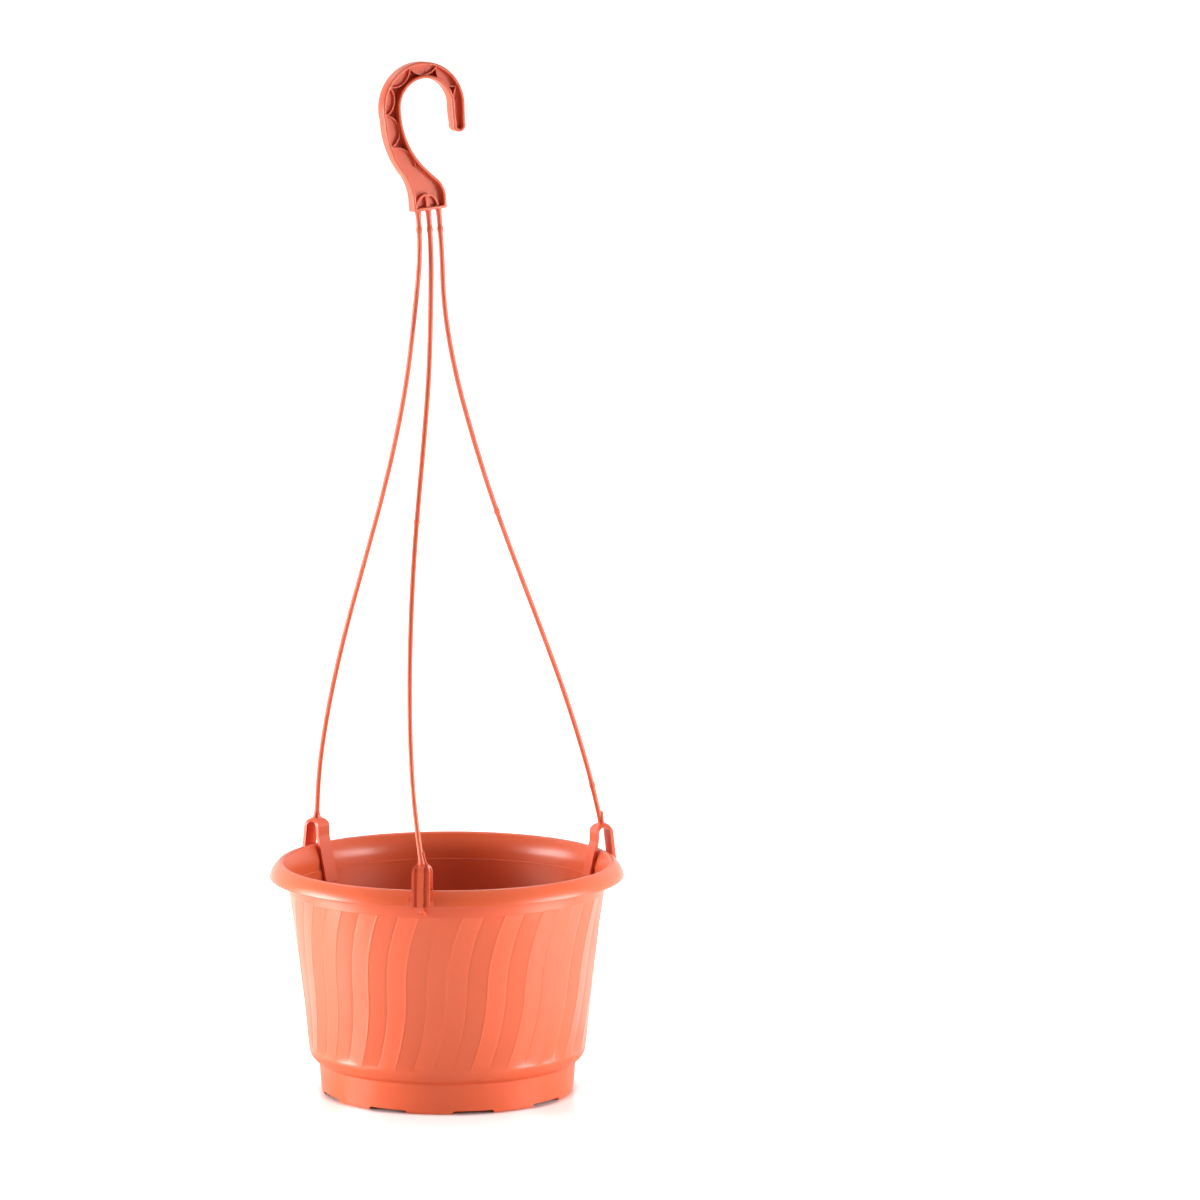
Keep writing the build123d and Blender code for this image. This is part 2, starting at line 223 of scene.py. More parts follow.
moulded_skin = bpy.data.node_groups.new("moulded_skin", "ShaderNodeTree")
for name, kind, value in (
    ("Colour", "NodeSocketColor", (0.8, 0.2, 0.1, 1)),
    ("Cloud Colour", "NodeSocketColor", (0.9, 0.3, 0.15, 1)),
    ("Cloud Share", "NodeSocketFloat", 0.3),
    ("Polished", "NodeSocketFloat", 0.28),
    ("Dull", "NodeSocketFloat", 0.42),
    ("Peel Size", "NodeSocketFloat", 900.0),
    ("Cloud Size", "NodeSocketFloat", 14.0),
):
    socket = moulded_skin.interface.new_socket(name, in_out="INPUT", socket_type=kind)
    socket.default_value = value
for name, kind in (
    ("Colour", "NodeSocketColor"), ("Roughness", "NodeSocketFloat"), ("Height", "NodeSocketFloat"),
):
    moulded_skin.interface.new_socket(name, in_out="OUTPUT", socket_type=kind)

skin_in = moulded_skin.nodes.new("NodeGroupInput")
skin_out = moulded_skin.nodes.new("NodeGroupOutput")
skin_links = moulded_skin.links
place = moulded_skin.nodes.new("ShaderNodeTexCoord")


def add_noise(tree, vector, scale, detail, roughness=0.5, distortion=0.0):
    node = tree.nodes.new("ShaderNodeTexNoise")
    tree.links.new(vector, node.inputs["Vector"])
    if isinstance(scale, (int, float)):
        node.inputs["Scale"].default_value = scale
    else:
        tree.links.new(scale, node.inputs["Scale"])
    node.inputs["Detail"].default_value = detail
    node.inputs["Roughness"].default_value = roughness
    node.inputs["Distortion"].default_value = distortion
    return node.outputs["Fac"]


def add_range(tree, value, low, high, to_low=0.0, to_high=1.0):
    node = tree.nodes.new("ShaderNodeMapRange")
    node.inputs["From Min"].default_value = low
    node.inputs["From Max"].default_value = high
    for socket, end in (("To Min", to_low), ("To Max", to_high)):
        if isinstance(end, (int, float)):
            node.inputs[socket].default_value = end
        else:
            tree.links.new(end, node.inputs[socket])
    tree.links.new(value, node.inputs["Value"])
    return node.outputs["Result"]


clouds = add_noise(moulded_skin, place.outputs["Object"], skin_in.outputs["Cloud Size"], 2, 0.5)
cloud_mask = add_maths(
    moulded_skin, "MULTIPLY", add_range(moulded_skin, clouds, 0.2, 0.8), skin_in.outputs["Cloud Share"])
tint = moulded_skin.nodes.new("ShaderNodeMix")
tint.data_type = "RGBA"
skin_links.new(cloud_mask, tint.inputs["Factor"])
skin_links.new(skin_in.outputs["Colour"], tint.inputs["A"])
skin_links.new(skin_in.outputs["Cloud Colour"], tint.inputs["B"])
skin_links.new(tint.outputs["Result"], skin_out.inputs["Colour"])
handling = add_noise(moulded_skin, place.outputs["Object"], 24.0, 2, 0.5)
skin_links.new(
    add_range(moulded_skin, handling, 0.2, 0.8, skin_in.outputs["Polished"], skin_in.outputs["Dull"]),
    skin_out.inputs["Roughness"])
peel = add_noise(moulded_skin, place.outputs["Object"], skin_in.outputs["Peel Size"], 2, 0.5)
ripple = add_noise(moulded_skin, place.outputs["Object"], 120.0, 2, 0.5)
skin_links.new(
    add_maths(moulded_skin, "ADD", peel, add_maths(moulded_skin, "MULTIPLY", ripple, 0.2)),
    skin_out.inputs["Height"])


def moulded_plastic(name, colour, cloud_colour, cloud_share, polished, dull, peel_depth):
    """A plastic with the moulded skin; its gloss comes from the shader's own sockets."""
    material = bpy.data.materials.new(name)
    material.use_nodes = True
    tree = material.node_tree
    shader = tree.nodes["Principled BSDF"]
    skin = tree.nodes.new("ShaderNodeGroup")
    skin.node_tree = moulded_skin
    skin.inputs["Colour"].default_value = (*colour, 1)
    skin.inputs["Cloud Colour"].default_value = (*cloud_colour, 1)
    skin.inputs["Cloud Share"].default_value = cloud_share
    skin.inputs["Polished"].default_value = polished
    skin.inputs["Dull"].default_value = dull
    bump = tree.nodes.new("ShaderNodeBump")
    bump.inputs["Strength"].default_value = 0.5
    bump.inputs["Distance"].default_value = peel_depth
    tree.links.new(skin.outputs["Colour"], shader.inputs["Base Color"])
    tree.links.new(skin.outputs["Roughness"], shader.inputs["Roughness"])
    tree.links.new(skin.outputs["Height"], bump.inputs["Height"])
    tree.links.new(bump.outputs["Normal"], shader.inputs["Normal"])
    shader.inputs["IOR"].default_value = 1.49
    return material


def evaluated_mesh(piece):
    graph = bpy.context.evaluated_depsgraph_get()
    return bpy.data.meshes.new_from_object(piece.evaluated_get(graph), depsgraph=graph)


def finished(pieces, name, material, smooth_angle=32, flat_faces=False):
    """The evaluated pieces as one plain mesh object with its material; the sources are removed."""
    if isinstance(pieces, bpy.types.Object):
        pieces = [pieces]
    bm = bmesh.new()
    for piece in pieces:
        part_mesh = evaluated_mesh(piece)
        bm.from_mesh(part_mesh)
        bpy.data.meshes.remove(part_mesh)
    for piece in pieces:
        source_mesh = piece.data
        bpy.data.objects.remove(piece)
        if isinstance(source_mesh, bpy.types.Mesh) and not source_mesh.users:
            bpy.data.meshes.remove(source_mesh)
    mesh = bpy.data.meshes.new(name)
    bm.to_mesh(mesh)
    bm.free()
    mesh.materials.clear()
    mesh.materials.append(material)
    for face in mesh.polygons:
        face.use_smooth = True
        face.material_index = 0
    mesh.set_sharp_from_angle(angle=radians(smooth_angle))
    result = bpy.data.objects.new(name, mesh)
    scene.collection.objects.link(result)
    if flat_faces:
        # large flat faces keep their own direction, and only their rounded edges turn
        weighted = result.modifiers.new("flat_faces", "WEIGHTED_NORMAL")
        weighted.keep_sharp = True
        weighted_mesh = evaluated_mesh(result)
        result.modifiers.clear()
        result.data = weighted_mesh
        bpy.data.meshes.remove(mesh)
        weighted_mesh.name = name
    return result


def linked_object(name, mesh):
    piece = bpy.data.objects.new(name, mesh)
    scene.collection.objects.link(piece)
    bpy.context.view_layer.update()
    return piece


def arc(start, middle, end, steps):
    """Points of a circular arc through three points of a plane, the first left out."""
    (ax, ay), (bx, by), (cx, cy) = start, middle, end
    d = 2 * (ax * (by - cy) + bx * (cy - ay) + cx * (ay - by))
    a2, b2, c2 = ax * ax + ay * ay, bx * bx + by * by, cx * cx + cy * cy
    ox = (a2 * (by - cy) + b2 * (cy - ay) + c2 * (ay - by)) / d
    oy = (a2 * (cx - bx) + b2 * (ax - cx) + c2 * (bx - ax)) / d
    radius = hypot(ax - ox, ay - oy)
    first = atan2(ay - oy, ax - ox)
    sweep = (atan2(cy - oy, cx - ox) - first) % (2 * pi)
    half = (atan2(by - oy, bx - ox) - first) % (2 * pi)
    if half > sweep:
        sweep -= 2 * pi
    return [
        (ox + radius * cos(first + sweep * i / steps), oy + radius * sin(first + sweep * i / steps))
        for i in range(1, steps + 1)
    ]


# ---- pot -------------------------------------------------------------------------------
# One terracotta moulding, 2 mm thick: a foot with air notches, a rounded shoulder, a body
# of shallow zigzag flutes that lean in an S, a collar, and a rolled rim open underneath.
terracotta = moulded_plastic(
    "terracotta_polypropylene", (0.74, 0.112, 0.036), (0.78, 0.14, 0.055), 0.3, 0.3, 0.38, 0.00005)

flute_count = 23
flute_depth = 0.9 * mm
flute_lean = radians(6)
flute_phase = radians(-82)
shoulder = (97.9, 32.3)
body_top = (111.1, 143.0)
inner_shoulder = (95.9, 32.3)
inner_top = (109.0, 143.0)
floor_level = 4.0

body_rows = 34
outer_body = [
    (shoulder[0] + (body_top[0] - shoulder[0]) * i / body_rows,
     shoulder[1] + (body_top[1] - shoulder[1]) * i / body_rows,
     min(1, 0.12 + i / 1.3))
    for i in [0.06, 0.35, 0.7] + list(range(1, body_rows + 1))
]
foot_line = [
    (0, 2.4), (30, 2.4), (60, 2.4), (86.9, 2.4), (86.9, 0.25), (87.2, 0), (88.6, 0), (88.95, 0.35),
    (89.1, 2.4), (89.9, 11.0), (90.7, 20.4), (90.85, 21.3),
]
shoulder_line = arc((91.0, 21.7), (96.0, 25.7), shoulder, 10)
collar_line = [(111.5, 143.0), (111.8, 143.35), (111.85, 146.5), (112.0, 150.0)]
under_rim = arc((112.0, 150.0), (113.3, 155.6), (115.8, 160.4), 6)
under_rim += arc((115.8, 160.4), (116.9, 161.8), (118.6, 161.0), 4)
under_rim += arc((118.6, 161.0), (121.5, 157.5), (123.4, 153.2), 6)
lip_edge = arc((123.4, 153.2), (124.2, 152.4), (lip_radius, 153.2), 6)
over_rim = arc((lip_radius, 153.2), (123.0, 158.2), (119.6, 162.3), 9)
over_rim += arc((119.6, 162.3), (116.9, 163.5), (114.4, 161.2), 9)
inside_rim = arc((114.4, 161.2), (111.8, 156.2), (110.4, 150.0), 8)
step_line = [(110.25, 145.3), (110.0, 145.05), (109.3, 144.95), (109.0, 144.7), inner_top]
inner_rows = 12
inner_body = [
    (inner_top[0] + (inner_shoulder[0] - inner_top[0]) * i / inner_rows,
     inner_top[1] + (inner_shoulder[1] - inner_top[1]) * i / inner_rows)
    for i in range(1, inner_rows + 1)
]
inner_foot = arc(inner_shoulder, (93.0, 25.4), (89.2, 23.0), 6)
inner_foot += [(87.6, 5.4), (87.1, 4.5)] + [(r, floor_level) for r in (86.3, 60, 30, 0)]

# profile from the middle of the underside round to the middle of the floor; the third
# number is how much of the flutes shows there
rim_line = collar_line + under_rim + lip_edge + over_rim + inside_rim
profile = [(r, z, 0) for r, z in foot_line + shoulder_line]
profile += outer_body
profile += [(r, z, 0) for r, z in rim_line + step_line + inner_body + inner_foot]

# places around one half of a flute, closer together at its ridge and its valley
half_flute = (0, 0.018, 0.04, 0.07, 0.11, 0.2, 0.42, 0.66, 0.84, 0.92, 0.96, 0.982)
pitch = 2 * pi / flute_count
turns = []
for flute in range(flute_count):
    for half in (0, 1):
        turns += [flute_phase + pitch * (flute + (half + share) / 2) for share in half_flute]


def revolved(name, profile, turns):
    """Closed surface of revolution; the profile starts and ends on the axis."""
    mesh = bpy.data.meshes.new(name)
    bm = bmesh.new()
    fluted = bm.verts.layers.float.new("fluted")
    rings = []
    for r, z, flag in profile:
        if r == 0:
            vert = bm.verts.new((0, 0, z * mm))
            vert[fluted] = flag
            rings.append([vert])
            continue
        ring = []
        for turn in turns:
            vert = bm.verts.new((r * mm * cos(turn), r * mm * sin(turn), z * mm))
            vert[fluted] = flag
            ring.append(vert)
        rings.append(ring)
    count = len(turns)
    for low, high in zip(rings, rings[1:]):
        for i in range(count):
            j = (i + 1) % count
            if len(low) == 1:
                bm.faces.new((low[0], high[j], high[i]))
            elif len(high) == 1:
                bm.faces.new((low[i], low[j], high[0]))
            else:
                bm.faces.new((low[i], low[j], high[j], high[i]))
    bm.normal_update()
    bm.to_mesh(mesh)
    bm.free()
    return mesh


def node_tree_with_inputs(name, inputs):
    """An empty geometry tree with a mesh in and out and named number inputs."""
    tree = bpy.data.node_groups.new(name, "GeometryNodeTree")
    tree.interface.new_socket("Geometry", in_out="INPUT", socket_type="NodeSocketGeometry")
    for label, value in inputs:
        socket = tree.interface.new_socket(label, in_out="INPUT", socket_type="NodeSocketFloat")
        socket.default_value = value
    tree.interface.new_socket("Geometry", in_out="OUTPUT", socket_type="NodeSocketGeometry")
    return tree, tree.nodes.new("NodeGroupInput"), tree.nodes.new("NodeGroupOutput")


def end_tree(tree, geometry, output, material):
    """Realize Instances and Set Material close every tree."""
    realize = tree.nodes.new("GeometryNodeRealizeInstances")
    paint = tree.nodes.new("GeometryNodeSetMaterial")
    paint.inputs["Material"].default_value = material
    tree.links.new(geometry, realize.inputs["Geometry"])
    tree.links.new(realize.outputs["Geometry"], paint.inputs["Geometry"])
    tree.links.new(paint.outputs["Geometry"], output.inputs["Geometry"])


flutes, flute_in, flute_out = node_tree_with_inputs("leaning_flutes", (
    ("Count", flute_count), ("Depth", flute_depth), ("Lean", flute_lean), ("Phase", flute_phase),
    ("Bottom", shoulder[1] * mm), ("Top", body_top[1] * mm), ("Edge Softness", 0.05),
    ("Bead", 0.26 * mm), ("Bead Width", 0.04), ("Groove", 0.14 * mm),
))
where = flutes.nodes.new("GeometryNodeInputPosition")
apart = flutes.nodes.new("ShaderNodeSeparateXYZ")
flutes.links.new(where.outputs[0], apart.inputs[0])
flag = flutes.nodes.new("GeometryNodeInputNamedAttribute")
flag.data_type = "FLOAT"
flag.inputs["Name"].default_value = "fluted"
# zigzag around the pot, 1 on a ridge and 0 in a valley, with rounded ridges
turn = add_maths(flutes, "ARCTAN2", apart.outputs["Y"], apart.outputs["X"])
along = add_maths(
    flutes, "MULTIPLY", add_maths(flutes, "SUBTRACT", turn, flute_in.outputs["Phase"]),
    add_maths(flutes, "DIVIDE", flute_in.outputs["Count"], 2 * pi))
along = add_maths(flutes, "FRACT", add_maths(flutes, "ADD", along, float(flute_count)))
zigzag = add_maths(
    flutes, "ABSOLUTE",
    add_maths(flutes, "SUBTRACT", add_maths(flutes, "MULTIPLY", along, 2.0), 1.0))
zigzag = add_maths(flutes, "SMOOTH_MIN", zigzag, 0.985, flute_in.outputs["Edge Softness"])
sink = add_maths(
    flutes, "MULTIPLY", add_maths(flutes, "SUBTRACT", zigzag, 1.0), flute_in.outputs["Depth"])
# a fine bead runs along each ridge
from_ridge = add_maths(
    flutes, "DIVIDE", add_maths(flutes, "SUBTRACT", 1.0, zigzag), flute_in.outputs["Bead Width"])
bead = add_maths(flutes, "MULTIPLY", add_maths(flutes, "MULTIPLY", from_ridge, from_ridge), -1.0)
bead = add_maths(flutes, "MULTIPLY", add_maths(flutes, "EXPONENT", bead), flute_in.outputs["Bead"])
sink = add_maths(flutes, "ADD", sink, bead)
# and a fine groove along each valley
from_valley = add_maths(flutes, "DIVIDE", zigzag, flute_in.outputs["Bead Width"])
groove = add_maths(flutes, "MULTIPLY", add_maths(flutes, "MULTIPLY", from_valley, from_valley), -1.0)
groove = add_maths(
    flutes, "MULTIPLY", add_maths(flutes, "EXPONENT", groove), flute_in.outputs["Groove"])
sink = add_maths(flutes, "SUBTRACT", sink, groove)
sink = add_maths(flutes, "MULTIPLY", sink, flag.outputs["Attribute"])
flat = flutes.nodes.new("ShaderNodeCombineXYZ")
flutes.links.new(apart.outputs["X"], flat.inputs["X"])
flutes.links.new(apart.outputs["Y"], flat.inputs["Y"])
outward = flutes.nodes.new("ShaderNodeVectorMath")
outward.operation = "NORMALIZE"
flutes.links.new(flat.outputs[0], outward.inputs[0])
inward = flutes.nodes.new("ShaderNodeVectorMath")
inward.operation = "SCALE"
flutes.links.new(outward.outputs[0], inward.inputs[0])
flutes.links.new(sink, inward.inputs["Scale"])
sunk = flutes.nodes.new("ShaderNodeVectorMath")
sunk.operation = "ADD"
flutes.links.new(where.outputs[0], sunk.inputs[0])
flutes.links.new(inward.outputs[0], sunk.inputs[1])
# lean: a signed square of the share of the height, so each flute is a long S
share = flutes.nodes.new("ShaderNodeMapRange")
flutes.links.new(apart.outputs["Z"], share.inputs["Value"])
flutes.links.new(flute_in.outputs["Bottom"], share.inputs["From Min"])
flutes.links.new(flute_in.outputs["Top"], share.inputs["From Max"])
share.inputs["To Min"].default_value = -1
share.inputs["To Max"].default_value = 1
swing = share.outputs["Result"]
lean = add_maths(
    flutes, "MULTIPLY",
    add_maths(flutes, "MULTIPLY", swing, add_maths(flutes, "ABSOLUTE", swing)),
    flute_in.outputs["Lean"])
twist = flutes.nodes.new("ShaderNodeVectorRotate")
twist.rotation_type = "Z_AXIS"
flutes.links.new(sunk.outputs[0], twist.inputs["Vector"])
flutes.links.new(lean, twist.inputs["Angle"])
move = flutes.nodes.new("GeometryNodeSetPosition")
flutes.links.new(flute_in.outputs["Geometry"], move.inputs["Geometry"])
flutes.links.new(twist.outputs[0], move.inputs["Position"])
end_tree(flutes, move.outputs["Geometry"], flute_out, terracotta)

pot_blank = linked_object("pot_blank", revolved("pot_blank", profile, turns))
pot_blank.modifiers.new("flutes", "NODES").node_group = flutes


def cutter(name, boxes):
    """One mesh of rounded boxes: centre angle, radius, height, and size out, across, up."""
    bm = bmesh.new()
    for angle, radius, height, (out, across, up) in boxes:
        made = bmesh.ops.create_cube(bm, size=1.0)["verts"]
        bmesh.ops.scale(bm, vec=(out * mm, across * mm, up * mm), verts=made)
        upright = [e for e in bm.edges if e.verts[0] in made and e.verts[1] in made]
        rounded = bmesh.ops.bevel(
            bm, geom=upright, offset=0.45 * mm, segments=3, profile=0.5, affect="EDGES")["verts"]
        bmesh.ops.translate(bm, vec=(radius * mm, 0, height * mm), verts=rounded)
        bmesh.ops.rotate(bm, cent=(0, 0, 0), verts=rounded, matrix=Matrix.Rotation(angle, 3, "Z"))
    mesh = bpy.data.meshes.new(name)
    bm.to_mesh(mesh)
    bm.free()
    return linked_object(name, mesh)


clip_turns = {"front": radians(-90), "right": radians(30), "left": radians(150)}
foot_notch_count = 9
foot_notch = (12, 29, 4)
lip_cut_back = (12, 18, 12)
cuts = [
    (clip_turns["front"] + radians(20 + 40 * i), 88.9, 0, foot_notch)
    for i in range(foot_notch_count)
]
cuts += [(turn, 127.9, 154, lip_cut_back) for turn in clip_turns.values()]
pot_cutter = cutter("pot_cutter", cuts)
cut = pot_blank.modifiers.new("cuts", "BOOLEAN")
cut.object = pot_cutter
cut.solver = "EXACT"
pot = finished(pot_blank, "pot_moulding", terracotta, 34)
bpy.data.objects.remove(pot_cutter)
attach(pot, "pot")
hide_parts("pot")

# ---- water reservoir -------------------------------------------------------------------
# Thin black false bottom that drops into the pot: soil sits on its deck, water under it.
# A moulding tool has no sharp corners, so its edges are rounded and catch the light.


def softened_copy(node, name, material, edge):
    """A copy of a frame piece with its edges rounded by a fraction of a millimetre."""
    mesh = nodes[node].data.copy()
    bm = bmesh.new()
    bm.from_mesh(mesh)
    bmesh.ops.remove_doubles(bm, verts=bm.verts, dist=0.001 * mm)
    bmesh.ops.dissolve_limit(bm, angle_limit=radians(1.0), verts=bm.verts, edges=bm.edges)
    bm.to_mesh(mesh)
    bm.free()
    mesh.materials.clear()
    piece = linked_object(name + "_blank", mesh)
    rounding = piece.modifiers.new("rounding", "BEVEL")
    rounding.width = edge * mm
    rounding.segments = 2
    rounding.limit_method = "ANGLE"
    rounding.angle_limit = radians(38)
    rounding.use_clamp_overlap = True
    return finished(piece, name, material, 40, flat_faces=True)


black_plastic = moulded_plastic(
    "black_polypropylene", (0.013, 0.014, 0.016), (0.03, 0.031, 0.034), 0.6, 0.3, 0.46, 0.00008)
reservoir = softened_copy("reservoir_insert", "reservoir_moulding", black_plastic, 0.25)
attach(reservoir, "reservoir")
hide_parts("reservoir_insert")

# ---- hook ------------------------------------------------------------------------------
# Open-fronted channel, moulded in one with the strands. Scalloped ribs stand on its floor
# with deep pockets between them, and a half-round rib with two windows ties the root.
hanger_plastic = moulded_plastic(
    "hanger_polypropylene", (0.7, 0.1, 0.036), (0.74, 0.12, 0.045), 0.3, 0.34, 0.42, 0.00005)


def bars(name, parts, place):
    """Closed bars as one object, normals outward. A part is an outline and where it starts and
    ends across it; place turns (outline's two numbers, across) into a point."""
    bm = bmesh.new()
    for outline, low, high in parts:
        near, far = ([bm.verts.new(place(a, b, across)) for a, b in outline] for across in (low, high))
        bm.faces.new(near)
        bm.faces.new(list(reversed(far)))
        for i in range(len(outline)):
            j = (i + 1) % len(outline)
            bm.faces.new((near[j], near[i], far[i], far[j]))
    bmesh.ops.recalc_face_normals(bm, faces=bm.faces)
    mesh = bpy.data.meshes.new(name)
    bm.to_mesh(mesh)
    bm.free()
    return linked_object(name, mesh)


def join(piece, steps):
    """Adds a Boolean for each (tool, operation) to the piece."""
    for tool, operation in steps:
        joining = piece.modifiers.new(tool.name, "BOOLEAN")
        joining.object = tool
        joining.operation = operation
        joining.solver = "EXACT"


def soften(piece, edge):
    """Rounds the edges by a fraction of a millimetre, as a moulding tool does."""
    softening = piece.modifiers.new("softening", "BEVEL")
    softening.width = edge * mm
    softening.segments = 2
    softening.limit_method = "ANGLE"
    softening.angle_limit = radians(35)


def ringed_bar(name, rings, place):
    """A closed bar through rings of as many points each; a ring is an outline and its height."""
    bm = bmesh.new()
    made = [[bm.verts.new(place(a, b, across)) for a, b in outline] for outline, across in rings]
    count = len(made[0])
    bm.faces.new(made[0])
    bm.faces.new(list(reversed(made[-1])))
    for low, high in zip(made, made[1:]):
        for i in range(count):
            j = (i + 1) % count
            bm.faces.new((low[j], low[i], high[i], high[j]))
    bmesh.ops.recalc_face_normals(bm, faces=bm.faces)
    mesh = bpy.data.meshes.new(name)
    bm.to_mesh(mesh)
    bm.free()
    return linked_object(name, mesh)


def inset(outline, amount):
    """The outline moved inward by amount; it runs clockwise."""
    moved = []
    for i, (x, y) in enumerate(outline):
        (ax, ay), (bx, by) = outline[i - 1], outline[(i + 1) % len(outline)]
        first, second = Vector((x - ax, y - ay)).normalized(), Vector((bx - x, by - y)).normalized()
        inward = Vector((first.y + second.y, -first.x - second.x))
        inward *= amount / (1 + first.dot(second))
        moved.append((x + inward.x, y + inward.y))
    return moved


def circle(centre, radius, count=72):
    return [
        (centre[0] + radius * cos(2 * pi * i / count), centre[1] + radius * sin(2 * pi * i / count))
        for i in range(count)]


bend_centre = (2.2, 71.5)
bend_radius = 31.4
hook_half = 12.65
hook_front = 4.5


def on_bend(angle, radius):
    """A point about the middle of the hook's outer bend."""
    return (
        bend_centre[0] + radius * cos(radians(angle)), bend_centre[1] + radius * sin(radians(angle)))


hook_outline = [(-hook_half, 0), (-hook_half, 7.5)]
for start, middle, end, steps in (
    ((-hook_half, 7.5), (-13.6, 16.8), (-17.0, 25.4), 10),
    ((-17.0, 25.4), (-25.9, 43.0), (-28.9, 65.5), 18),
    ((-28.9, 65.5), on_bend(135, bend_radius), on_bend(90, bend_radius), 30),
    (on_bend(90, bend_radius), on_bend(45, bend_radius), on_bend(0, bend_radius), 26),
):
    hook_outline += arc(start, middle, end, steps)
hook_outline += [(32.6, 57.0)]
for start, middle, end, steps in (
    ((32.6, 57.0), (28.2, 51.0), (24.0, 57.2), 12),
    ((24.0, 57.2), (23.6, 65.5), (23.9, 71.5), 6),
    ((23.9, 71.5), (4.0, 91.4), (-15.9, 71.5), 40),
    ((-15.9, 71.5), (-12.8, 49.2), (-3.0, 31.6), 18),
    ((-3.0, 31.6), (2.2, 26.0), (8.0, 20.2), 10),
    ((8.0, 20.2), (11.8, 13.6), (hook_half, 6.0), 10),
):
    hook_outline += arc(start, middle, end, steps)
hook_outline += [(hook_half, 0)]
hook_wall = 2.0
hook_channel = inset(hook_outline, hook_wall)
cell_floor = 0.3
pocket_floor = -2.5
rib_height = 2.4
rib_thickness = 0.9
# round cells: middle and radius, four on the bend, one below them, then root and tip
cells = [(on_bend(23.0 + 40.7 * (cell + 0.5), 34.7), 12.8) for cell in range(4)]
cells += [((-29.4, 57.5), 12.4), ((-22.8, 30.75), 15.7), ((46.15, 72.0), 20.5)]
root_end = [(-40, -5), (-40, 31), (20, 31), (20, -5)]
tip_end = [(20, 39.5), (20, 68.5), (40, 68.5), (40, 39.5)]


def in_hook(x, y, depth):
    return (x * mm, y * mm, depth * mm)


above = hook_front + 3
# both rims of the channel's walls are rounded by 0.3 mm
rounding = ((0.3, 0.0), (0.09, 0.09), (0.0, 0.3))
hook_rings = [(inset(hook_outline, inward), -hook_front + rise) for inward, rise in rounding]
hook_rings += [(outline, -height) for outline, height in reversed(hook_rings)]
hook_blank = ringed_bar("hook_blank", hook_rings, in_hook)
channel_rings = [(hook_channel, cell_floor)]
channel_rings += [
    (inset(hook_outline, hook_wall - inward), hook_front - rise) for inward, rise in reversed(rounding)
]
channel_rings += [(channel_rings[-1][0], above)]
channel_cutter = ringed_bar("channel_cutter", channel_rings, in_hook)
pocket_maker = bars("pocket_maker", [(hook_channel, pocket_floor, above)], in_hook)
# each cell is a little taller than the one before, so that no two ends lie in one plane
taller = 0.05
cell_bars = [
    bars(f"cell_{i}", [
        (circle(middle, radius), pocket_floor - 1 - taller * i, above + 1 + taller * i)], in_hook)
    for i, (middle, radius) in enumerate(cells)
]
cell_insides = [
    bars(f"cell_inside_{i}", [
        (circle(middle, radius - rib_thickness), pocket_floor - 2, above + 2)], in_hook)
    for i, (middle, radius) in enumerate(cells)
]
level_ends = bars("level_ends", [
    (root_end, pocket_floor - 3, above + 3), (tip_end, pocket_floor - 3, above + 3)], in_hook)
join(pocket_maker, [(tool, "DIFFERENCE") for tool in cell_bars + [level_ends]])
cell_ribs = bars("cell_ribs", [(circle(*cells[0]), pocket_floor - 1.5, above + 1.5)], in_hook)
rib_space = bars("rib_space", [(hook_channel, -0.5, rib_height)], in_hook)
join(cell_ribs, [(tool, "UNION") for tool in cell_bars[1:]])
join(cell_ribs, [(tool, "DIFFERENCE") for tool in cell_insides + [level_ends]])
join(cell_ribs, [(rib_space, "INTERSECT")])
# half-round rib between the strands' roots and the channel, with a window on each side
root_rib = bars("root_rib", [(
    [(-10.1, 1.8), (-10.1, 2.0)] + arc((-10.1, 2.0), (-1.5, 11.4), (7.1, 2.0), 24) + [(7.1, 1.8)],
    -0.5, 3.0)], in_hook)
root_windows = bars("root_windows", [
    ([(-8.8, 2.4), *arc((-8.8, 2.4), (-6.9, 7.3), (-2.5, 9.8), 8), (-2.5, 2.4)], -1, above),
    ([(0.5, 2.4), (0.5, 9.8), *arc((0.5, 9.8), (4.1, 7.3), (5.8, 2.4), 8)], -1, above)], in_hook)
join(root_rib, [(root_windows, "DIFFERENCE")])
join(hook_blank, [(channel_cutter, "DIFFERENCE"), (pocket_maker, "DIFFERENCE")])
for piece in (hook_blank, cell_ribs, root_rib):
    piece.modifiers.new("triangles", "TRIANGULATE")
hook = finished([hook_blank, cell_ribs, root_rib], "hook_moulding", hanger_plastic, 28)
hook_tools = [channel_cutter, pocket_maker, rib_space, root_windows, level_ends]
for tool in hook_tools + cell_bars + cell_insides:
    bpy.data.objects.remove(tool)
# it stands over the pot, turned to one side and tipped a little in its own plane
hook_place = (-11.4 * mm, -1.7 * mm, 623 * mm)
hook_turn = radians(35)
hook_tilt = radians(5.6)
hook.data.transform(
    Matrix.Translation(hook_place)
    @ Matrix.Rotation(hook_turn, 4, "Z") @ Matrix.Rotation(radians(90), 4, "X")
    @ Matrix.Rotation(hook_tilt, 4, "Z"))
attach(hook, "hook")
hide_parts("hook")

